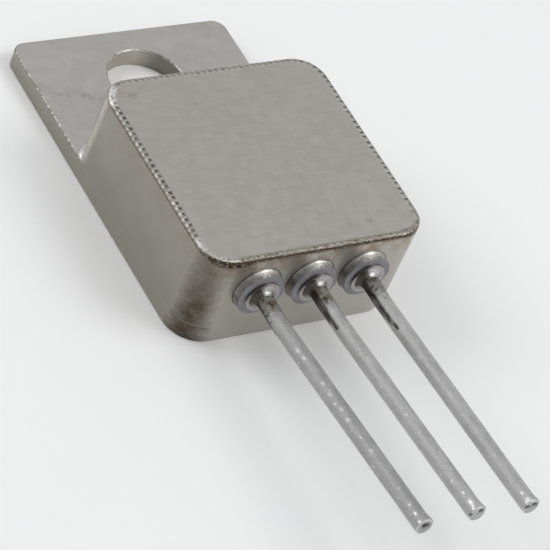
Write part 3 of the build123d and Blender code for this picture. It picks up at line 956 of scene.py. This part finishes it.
def coat_swell(tube, beads, pimples):
    """How far the solder coat stands out from the lead's radius, with a burr at the tip."""
    outside = smoothstep(WALL_LOW.y - 0.9 * MM, WALL_LOW.y - 1.6 * MM, tube.axis[:, 1])[:, None]
    upper_right = np.clip(np.cos(tube.bearing - math.radians(25)), 0, 1)
    burr = np.exp(-(tube.to_tip / 0.22) ** 2) * upper_right ** 2
    swell = -0.010 + outside * (0.006 * tube.field(0.55, 3.1) + 0.005 * np.clip(pimples, 0, 1))
    return (swell + 0.014 * beads + 0.05 * burr) * MM


def dark_streak(tube, edge):
    """Streak of bare metal painted dark as its reflection: wide at a lead's root, narrowing, worn
    in places.
    """
    reach, start, end, wide, narrow = DARK_STREAKS[tube.number]
    share = np.clip(tube.from_root / reach, 0, 1)
    offset = tube.turned_from(np.radians(start + (end - start) * share))
    half = np.radians(wide + (narrow - wide) * share)
    streak = smoothstep(half + 0.10, half - 0.06, offset + 0.10 * edge) * smoothstep(1, 0.97, share)
    worn = smoothstep(-0.3, 0.6, tube.field(0.25, 6.1, stretch=[2.0, 0.6, 2.0]))
    return streak * (0.92 - 0.45 * worn)


def root_marks(tube):
    """How far brown tarnish and dark marks show near a lead's root: bare metal painted dark, a
    line, spots.
    """
    out = tube.from_root
    edge, speck = tube.field(0.30, 9.1), tube.field(0.10, 2.3)
    patches = smoothstep(-0.15, 0.35, tube.field(0.22, 8.7))
    spots = smoothstep(0.25, 0.5, tube.field(0.17, 4.3))
    brown = smoothstep(1.35, 0.75, out + 0.40 * edge + 0.25 * speck) * (0.55 + 0.40 * patches)
    line = smoothstep(0.22, 0.10, tube.turned_from(math.radians(48))) * smoothstep(2.0, 1.2, out)
    bare_and_shaded = np.maximum(dark_streak(tube, edge), 0.75 * brown * spots)
    bare_and_shaded = np.maximum(bare_and_shaded, 0.6 * line)
    bare_and_shaded = np.maximum(bare_and_shaded, 0.7 * spots * smoothstep(1.6, 1.2, out))
    return brown * smoothstep(1.5, 1.0, out), bare_and_shaded


def tip_rings(tube):
    """Rings that close a lead's end, how hollow each of their points is, and their painted
    highlight.
    """
    rings, slots, shines = [], [], []
    for share, rise in TIP_RINGS:
        slot = np.zeros(LEAD_COLUMNS)
        for over, up, half_long, half_high in TIP_SLOTS[tube.number]:
            u, v = np.cos(tube.angle) * share - over, -np.sin(tube.angle) * share - up
            slot = np.maximum(slot, np.exp(-((u / half_long) ** 4 + (v / half_high) ** 4)))
        rim = tube.axis[-1] + tube.spoke[-1] * (tube.radius * share)
        rings.append(rim + tube.tangent[-1] * (rise * MM - TIP_HOLLOW * slot)[:, None])
        slots.append(slot)
        # painted highlight round the rim of the end
        shines.append((0.5 if share > 0.85 else 0.1) * (1 - slot))
    return np.array(rings), np.array(slots), np.array(shines)


def lead_piece(number, material):
    """A lead in its solder coat, from its inner end to its closed tip."""
    tube = LeadTube(number)
    pimples = tube.field(0.16, 5.7)
    beads = solder_beads(tube)
    root, bare_and_shaded = root_marks(tube)
    # painted highlights on the solder beads and pimples
    shine = np.maximum(beads, 0.35 * smoothstep(0.52, 0.65, pimples)) * (1 - bare_and_shaded)
    coat = tube.radius + coat_swell(tube, beads, pimples)
    rings, slots, tip_shine = tip_rings(tube)
    points = np.concatenate([tube.axis[:, None] + tube.spoke * coat[..., None], rings])
    values = {
        # the hollows in the end get painted shade
        "bare_and_shaded": np.concatenate([bare_and_shaded, 0.85 * slots]),
        "shine": np.concatenate([shine, tip_shine]),
        "root": np.concatenate([root, np.zeros_like(slots)]),
    }
    piece = grid_piece(f"soldered_lead_{number}", points, material, values,
                       close_rows=False, crease=180)
    close_ends(piece, len(points), LEAD_COLUMNS)
    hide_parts(f"lead_{number}")


def close_ends(piece, rows, columns):
    """Fills the first and last ring of an open tube."""
    work = bmesh.new()
    work.from_mesh(piece.data)
    work.verts.ensure_lookup_table()
    last = (rows - 1) * columns
    work.faces.new([work.verts[i] for i in range(columns)])
    work.faces.new([work.verts[last + i] for i in reversed(range(columns))])
    work.to_mesh(piece.data)
    work.free()
    piece.data.polygons.foreach_set("use_smooth", np.ones(len(piece.data.polygons), bool))


# -------- carried-over parts

def dress_parts():
    """Gives every part of the frame its material."""
    looks = {
        "heat_sink_tab": tab_material(),
        "lid": lid_material(),
        "wall_frame": wall_material(),
        "substrate_solder": plain_metal("inner_solder", (0.6, 0.6, 0.6), (0.5, 0.5, 0.5), 0.35),
        "isolator_substrate": dull_solid("isolator", (0.84, 0.83, 0.8), (0.78, 0.77, 0.74), 0.6),
        "die_pad": plain_metal("copper_land", (0.85, 0.5, 0.36), (0.75, 0.42, 0.3), 0.35),
        "regulator_die": dull_solid("silicon", (0.16, 0.17, 0.2), (0.12, 0.13, 0.16), 0.25),
        "insulator": eyelet_material(),
        "terminal_washer": pad_material(),
        "lead_braze": plain_metal("lead_fillet", (0.62, 0.60, 0.57), (0.52, 0.50, 0.47), 0.28),
        "bond_ribbon": plain_metal("bond_ribbon", (0.8, 0.8, 0.8), (0.7, 0.7, 0.7), 0.3),
    }
    like = {"frame_braze": "wall_frame", "die_solder": "substrate_solder", "lid_weld_bead": "lid",
            "insulator_braze": "lead_braze", "lead": "terminal_washer"}
    for name, part in frame["nodes"].items():
        family = name.rstrip("_123")
        part.data.materials.clear()
        part.data.materials.append(looks[like.get(family, family)])


# -------- camera, light and floor

VIEW_AZIMUTH = math.radians(46.1905)    # the camera looks along +Y turned this far towards +X
VIEW_ELEVATION = math.radians(42.0423)
VIEW_ROLL = math.radians(25.1429)
VIEW_DISTANCE = 128.4444 * MM
VIEW_LENS = 208.2965                    # millimetres, on a sensor 36 mm wide
AIM_RIGHT = -0.46014 * MM               # aim point, seen from the camera, off the part's centre
AIM_UP = -0.67129 * MM
LAMP_DISTANCE, LAMP_SIZE, LAMP_WATTS = 0.17, 0.09, 0.085
FLOOR_REACH = 0.6


def camera():
    forward = Vector((
        math.sin(VIEW_AZIMUTH) * math.cos(VIEW_ELEVATION),
        math.cos(VIEW_AZIMUTH) * math.cos(VIEW_ELEVATION),
        -math.sin(VIEW_ELEVATION),
    ))
    level_right = forward.cross(Vector((0, 0, 1))).normalized()
    level_up = level_right.cross(forward)
    right = level_right * math.cos(VIEW_ROLL) + level_up * math.sin(VIEW_ROLL)
    up = right.cross(forward)
    aim = (cad_low + cad_high) / 2 + right * AIM_RIGHT + up * AIM_UP
    data = bpy.data.cameras.new("view")
    data.sensor_width = 36.0
    data.lens = VIEW_LENS
    data.clip_start, data.clip_end = 0.01, 10
    eye = placed("view", data)
    turn = Matrix((right, up, -forward)).transposed().to_4x4()
    eye.matrix_world = Matrix.Translation(aim - forward * VIEW_DISTANCE) @ turn
    bpy.context.scene.camera = eye


def softbox(name, direction):
    """Square area light that faces the part."""
    data = bpy.data.lights.new(name, "AREA")
    data.shape = "SQUARE"
    data.size = LAMP_SIZE
    data.energy = LAMP_WATTS
    lamp = placed(name, data)
    target = (cad_low + cad_high) / 2
    lamp.location = target + Vector(direction).normalized() * LAMP_DISTANCE
    lamp.rotation_euler = (target - lamp.location).to_track_quat("-Z", "Y").to_euler()


def pale_floor():
    mesh = bpy.data.meshes.new("floor")
    r = FLOOR_REACH
    mesh.from_pydata([(-r, -r, 0), (r, -r, 0), (r, r, 0), (-r, r, 0)], [], [(0, 1, 2, 3)])
    floor = placed("floor", mesh)
    floor.location.z = cad_low.z - 0.01 * MM
    s = Shader("pale_floor")
    tone = s.noise(8 * MM, detail=2)
    colour = s.mix(tone, (0.93, 0.93, 0.93), (0.95, 0.95, 0.95))
    s.fill(s.surface, {"Base Color": colour, "Roughness": s.ramp(tone, 0, 1, 0.85, 0.95)})
    mesh.materials.append(s.material)


def studio():
    """Even pale surroundings, two softboxes and the floor."""
    world = bpy.data.worlds.new("studio")
    bpy.context.scene.world = world
    world.use_nodes = True
    backdrop = world.node_tree.nodes["Background"]
    backdrop.inputs["Color"].default_value = (0.98, 0.99, 1.0, 1)
    backdrop.inputs["Strength"].default_value = 0.55
    softbox("back_left", (-0.6, 0.5, 0.6))
    softbox("overhead_front", (0.5, -0.35, 0.85))
    pale_floor()
    bpy.context.scene.view_settings.view_transform = "Standard"


dress_parts()
weld_bead()
braze_seam()
feedthroughs()
solder = solder_material()
for number in LEAD_NUMBERS:
    lead_piece(number, solder)
camera()
studio()
